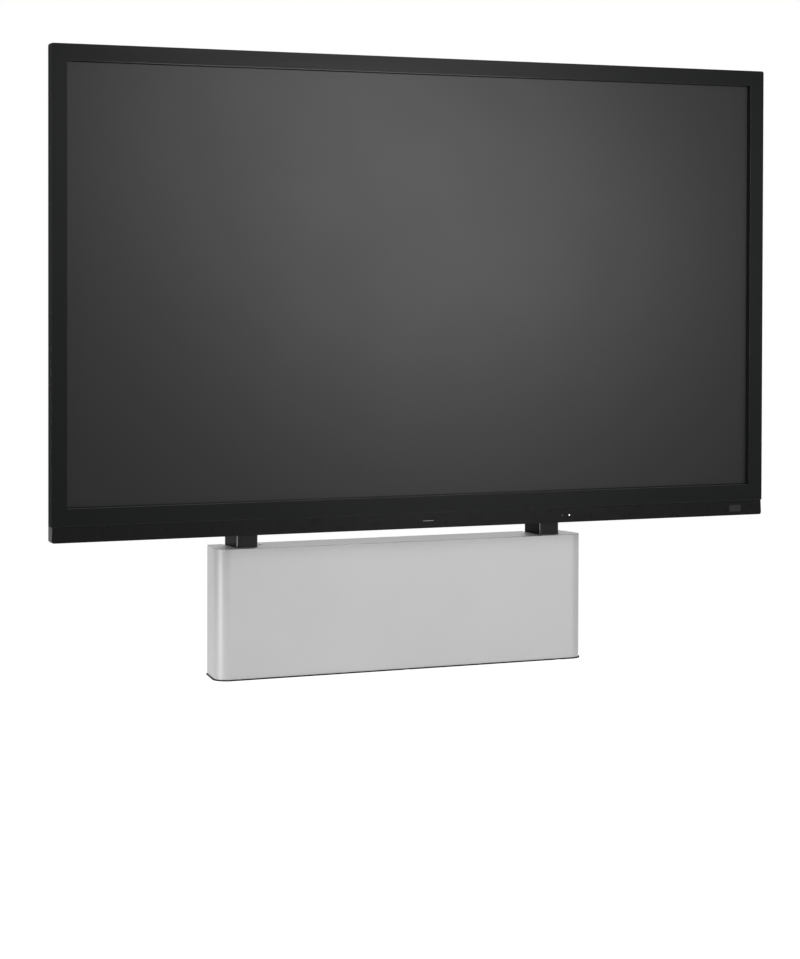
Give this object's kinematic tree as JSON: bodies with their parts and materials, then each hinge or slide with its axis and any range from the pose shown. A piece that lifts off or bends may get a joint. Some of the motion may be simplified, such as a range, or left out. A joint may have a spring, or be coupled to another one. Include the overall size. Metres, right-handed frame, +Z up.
{
  "type": "wall mounted display lift",
  "caption": "Wall-mounted electric height-adjustable lift with two telescoping columns above a silver drive housing, carrying a large flat display.",
  "frame": {"origin": "centre of the four wall bolts, on the wall plane", "axes": "+Z up, +Y into the wall, so the display faces -Y; +X to the right seen from the front"},
  "size_m": [1.728, 0.23, 1.3774],
  "materials": {
    "black_steel": "satin powder coat",
    "zinc_steel": "zinc plated",
    "cast_aluminium": "as cast",
    "bearing_steel": "ground",
    "motor_black": "satin",
    "black_plastic": "fine texture",
    "white_plastic": "satin",
    "silver_cover": "satin silver coat",
    "chrome_screw": "polished",
    "black_frame": "satin black anodised",
    "black_column": "satin black anodised",
    "inner_aluminium": "black anodised",
    "smoked_plastic": "gloss",
    "screen_glass": "anti-glare",
    "panel_body": "matte",
    "light_lens": "clear",
    "rear_steel": "fine texture",
    "bronze_nut": "machined"
  },
  "bodies": {
    "wall_unit": {"wall_plate": "black_steel", "wall_rail": "black_steel", "column_clamps": "zinc_steel", "clamp_screws": "zinc_steel", "column_feet": "cast_aluminium", "spindle_bearings": "bearing_steel", "shaft_bearings": "bearing_steel", "gearbox_lids": "cast_aluminium", "gearmotor_case": "cast_aluminium", "motor_can": "motor_black", "control_box": "black_plastic", "control_box_lid": "black_plastic", "cover": "silver_cover", "cover_brackets": "zinc_steel", "cover_screws": "chrome_screw", "base_plate": "black_steel", "switch_housing": "black_plastic", "power_inlet": "black_plastic", "outer_column_left": "black_column", "glide_collar_left": "black_plastic", "gearbox_housing_left": "cast_aluminium", "outer_column_right": "black_column", "glide_collar_right": "black_plastic", "gearbox_housing_right": "cast_aluminium"},
    "carriage": {"inner_column_left": "inner_aluminium", "glide_shoe_left": "white_plastic", "spindle_nut_left": "bronze_nut", "carriage_arm_left": "black_steel", "mount_rail_left": "black_steel", "inner_column_right": "inner_aluminium", "glide_shoe_right": "white_plastic", "spindle_nut_right": "bronze_nut", "carriage_arm_right": "black_steel", "mount_rail_right": "black_steel", "crossbar_upper": "black_steel", "crossbar_lower": "black_steel", "display_screws": "zinc_steel", "bezel_top": "black_frame", "bezel_bottom": "black_frame", "bezel_left": "black_frame", "bezel_right": "black_frame", "ir_strips": "smoked_plastic", "screen_glass": "screen_glass", "lcd_panel": "panel_body", "lower_bar": "black_frame", "sensor_window": "smoked_plastic", "status_lights": "light_lens", "rear_cover": "rear_steel", "electronics_cover": "rear_steel"},
    "spindle_left": {"spindle_left": "bearing_steel", "bevel_gear_left": "bearing_steel"},
    "spindle_right": {"spindle_right": "bearing_steel", "bevel_gear_right": "bearing_steel"},
    "drive_train": {"drive_shaft_left": "bearing_steel", "drive_shaft_right": "bearing_steel", "bevel_pinion_left": "bearing_steel", "bevel_pinion_right": "bearing_steel", "drive_hub": "bearing_steel"},
    "button_up": {"button_up": "black_plastic"},
    "button_down": {"button_down": "black_plastic"}
  },
  "joints": [
    {"name": "lift", "type": "slide", "parent": "wall_unit", "child": "carriage", "axis": [0, 0, 1], "range_m": [0, 0.5]},
    {"name": "spindle_left_turn", "type": "hinge", "parent": "wall_unit", "child": "spindle_left", "pos_m": [-0.375, -0.048, 0], "axis": [0, 0, 1], "range_deg": [0, 9000]},
    {"name": "spindle_right_turn", "type": "hinge", "parent": "wall_unit", "child": "spindle_right", "pos_m": [0.375, -0.048, 0], "axis": [0, 0, 1], "range_deg": [-9000, 0]},
    {"name": "drive_shaft_turn", "type": "hinge", "parent": "wall_unit", "child": "drive_train", "pos_m": [0, -0.048, -0.444], "axis": [1, 0, 0], "range_deg": [-9000, 0]},
    {"name": "button_up_press", "type": "slide", "parent": "wall_unit", "child": "button_up", "axis": [0, 0, 1], "range_m": [0, 0.002], "stiffness_N_per_m": 600, "springref_m": -0.001},
    {"name": "button_down_press", "type": "slide", "parent": "wall_unit", "child": "button_down", "axis": [0, 0, 1], "range_m": [0, 0.002], "stiffness_N_per_m": 600, "springref_m": -0.001}
  ],
  "couplings": [
    {"joint": "spindle_left_turn", "follows": "lift", "rad_per_m": 314.16},
    {"joint": "spindle_right_turn", "follows": "lift", "rad_per_m": -314.16},
    {"joint": "drive_shaft_turn", "follows": "lift", "rad_per_m": -314.16}
  ]
}
